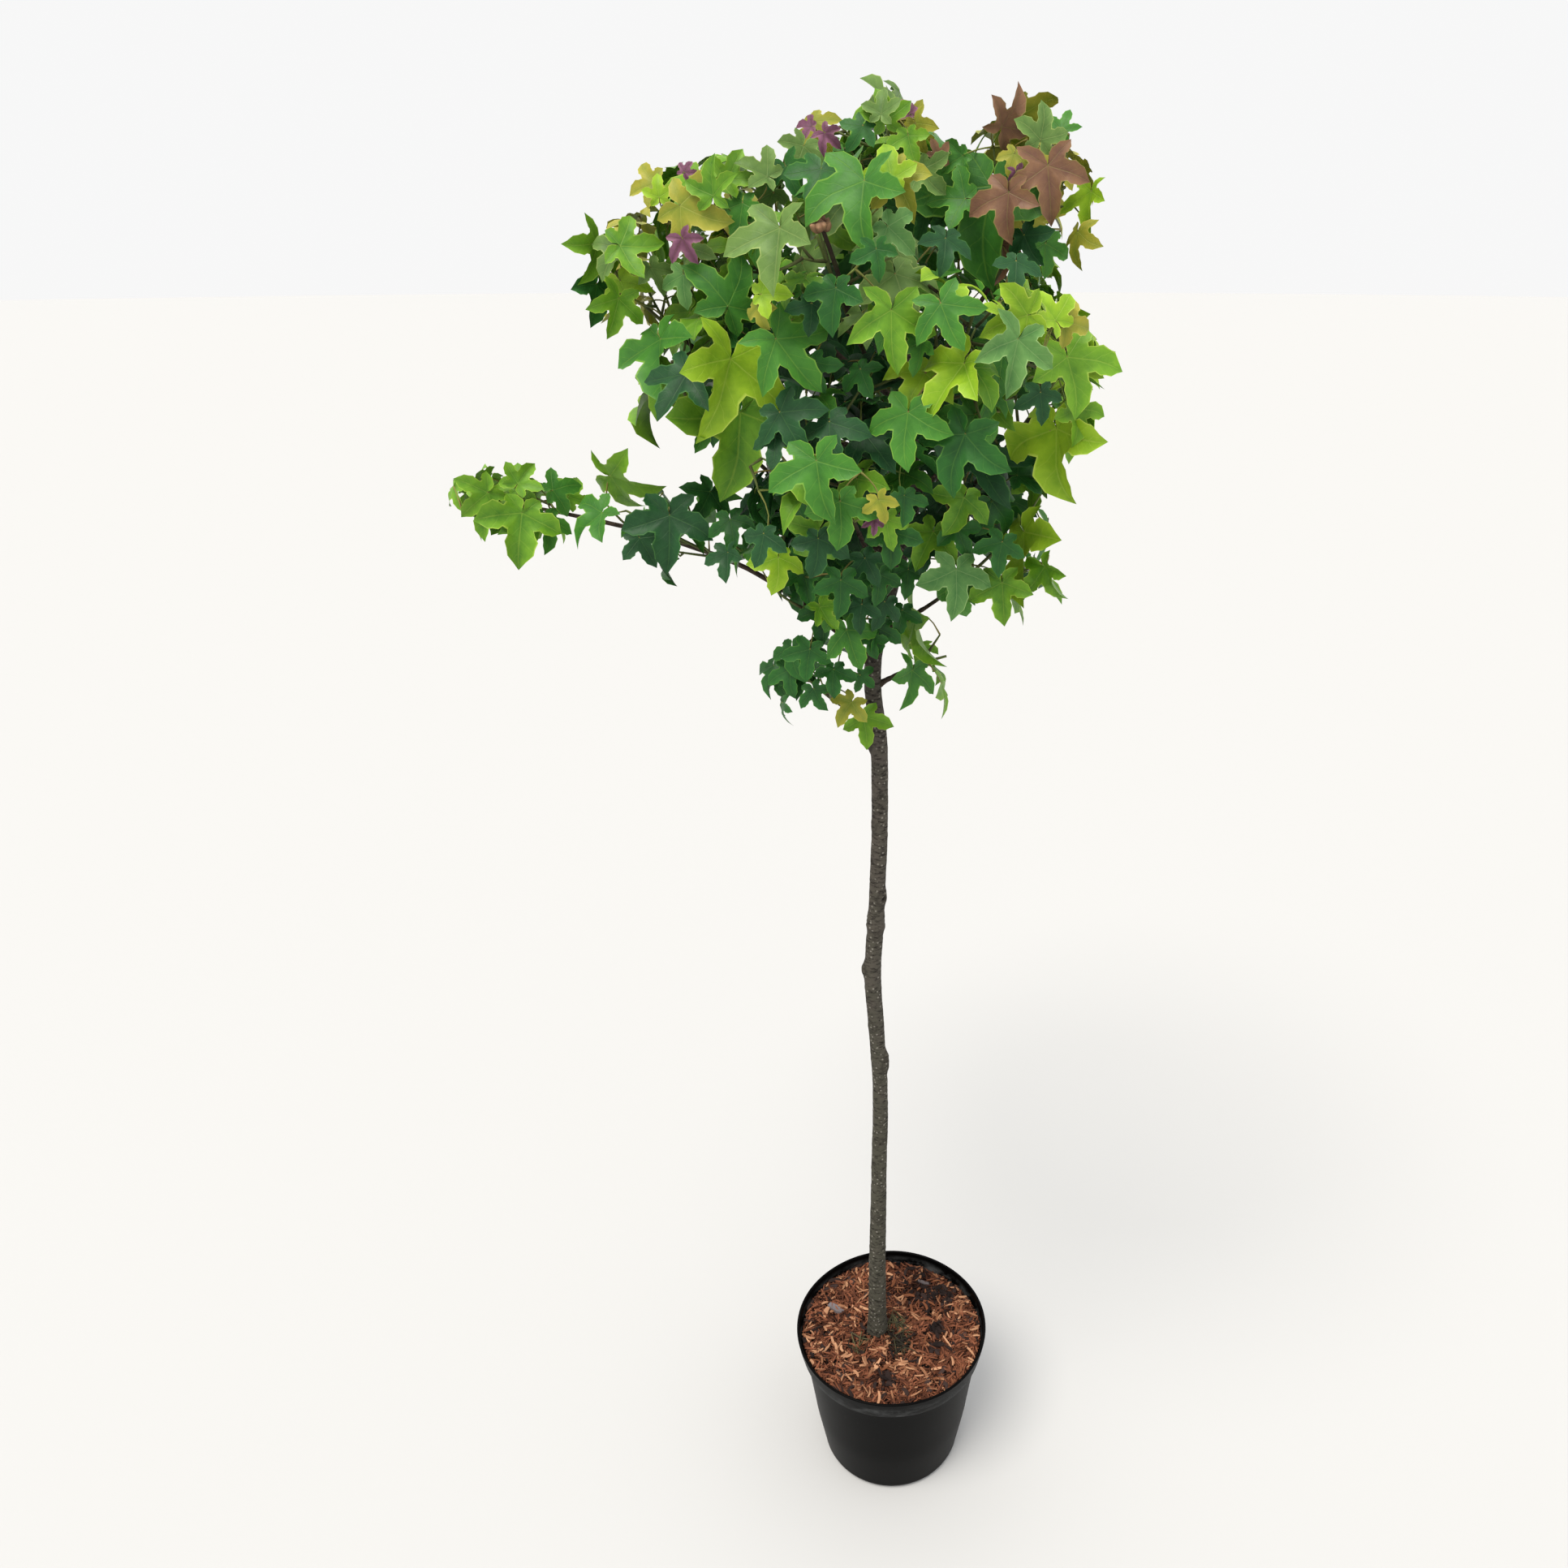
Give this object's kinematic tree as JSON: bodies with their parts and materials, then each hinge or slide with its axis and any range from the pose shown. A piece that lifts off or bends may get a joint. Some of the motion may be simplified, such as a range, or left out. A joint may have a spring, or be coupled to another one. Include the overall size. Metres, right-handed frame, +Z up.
{
  "type": "potted sweetgum tree",
  "caption": "Young sweetgum tree in a round nursery pot: slender clear stem with a crook under a rounded crown of star-shaped leaves, and a long low branch to one side.",
  "frame": {"origin": "centre of the flat underside of the pot", "axes": "+Z up along the stem; -Y is the side that shows most, and the long low branch points to -X"},
  "size_m": [0.7003, 0.4806, 1.8227],
  "materials": {
    "pot": "matte black, dusty at the rim",
    "mulch": "rough reddish-brown bark fibre",
    "bark": "rough grey-brown young bark with small raised pores",
    "young_bark": "dull brown young bark",
    "leaf": "soft green leaf, slightly glossy",
    "leaf_light": "yellow-green leaf, slightly glossy",
    "leaf_bronze": "bronze young leaf, slightly glossy",
    "leaf_deep": "deep green leaf, slightly glossy"
  },
  "bodies": {
    "root": {"bough_back_left": "young_bark", "bough_back_low": "young_bark", "bough_back_middle": "young_bark", "bough_back_right": "young_bark", "bough_back_top": "young_bark", "bough_far_left": "young_bark", "bough_front_low": "young_bark", "bough_front_upper": "young_bark", "bough_left": "young_bark", "bough_long_left": "young_bark", "bough_low_centre": "young_bark", "bough_low_left": "young_bark", "bough_low_right": "young_bark", "bough_middle_right": "young_bark", "bough_right": "young_bark", "bough_right_low": "young_bark", "bough_upper_left": "young_bark", "bough_upper_right": "young_bark", "leaves_back_left": "leaf", "leaves_back_low": "leaf_deep", "leaves_back_middle": "leaf", "leaves_back_right": "leaf", "leaves_back_top": "leaf", "leaves_far_left": "leaf_light", "leaves_front_low": "leaf", "leaves_front_upper": "leaf", "leaves_left": "leaf", "leaves_long_middle": "leaf_deep", "leaves_long_tip": "leaf_deep", "leaves_low_centre": "leaf_deep", "leaves_low_left": "leaf_deep", "leaves_low_right": "leaf", "leaves_middle_right": "leaf", "leaves_right": "leaf_light", "leaves_right_low": "leaf", "leaves_top": "leaf", "leaves_upper_left": "leaf_light", "leaves_upper_right": "leaf_bronze", "mulch": "mulch", "pot": "pot", "trunk": "bark"}
  },
  "joints": []
}
